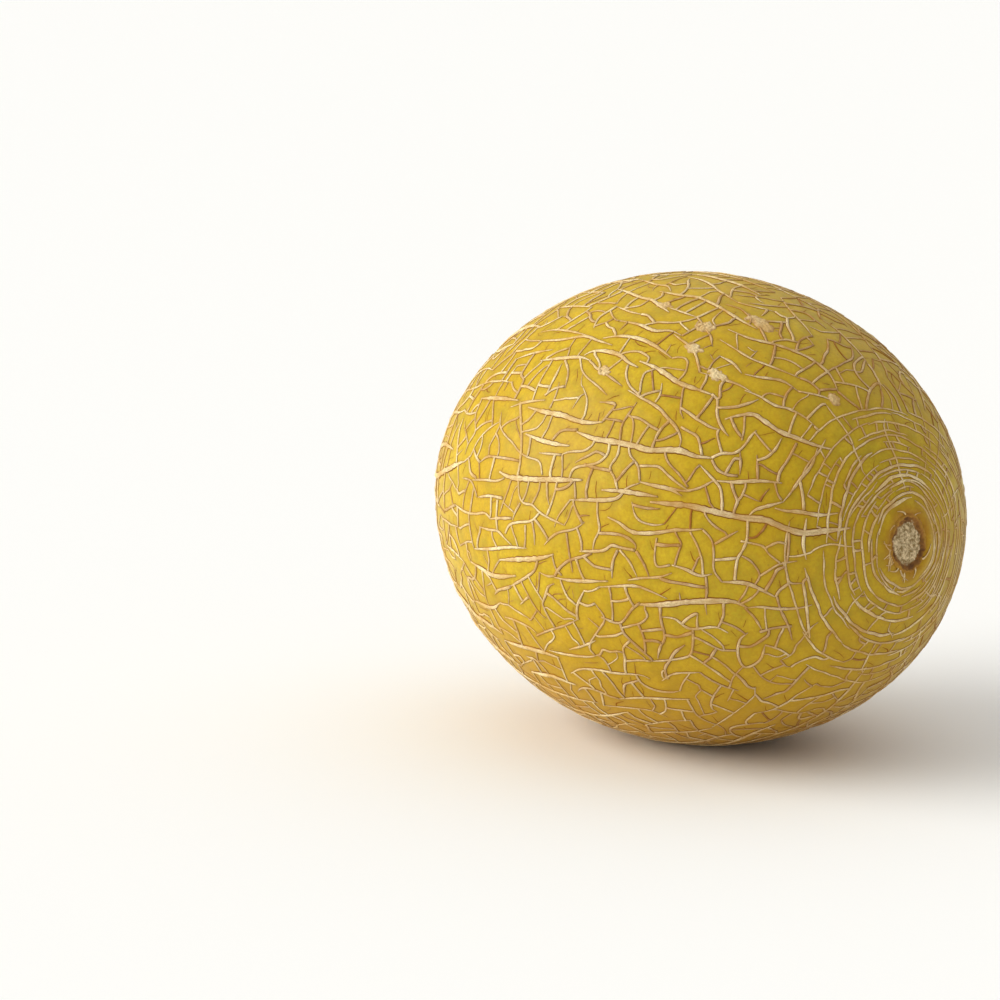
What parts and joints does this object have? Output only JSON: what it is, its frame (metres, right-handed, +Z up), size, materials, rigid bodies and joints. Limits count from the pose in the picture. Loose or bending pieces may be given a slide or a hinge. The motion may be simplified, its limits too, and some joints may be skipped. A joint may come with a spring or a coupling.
{
  "type": "cantaloupe",
  "caption": "Whole netted cantaloupe melon, oval, golden rind with raised corky net and stem scar, lying on a small flat spot",
  "frame": {"origin": "middle of the flat spot that the melon rests on", "axes": "+X from the blossom end to the stem end along the melon's length, +Z up, -Z out of the flat spot"},
  "size_m": [0.2404, 0.1879, 0.1858],
  "materials": {
    "rind": "waxy golden melon skin, satin",
    "net": "dry cream-coloured cork, rough",
    "scar": "dry fibrous cork where the stem came away, rough"
  },
  "bodies": {
    "root": {"cantaloupe": "rind"}
  },
  "joints": []
}
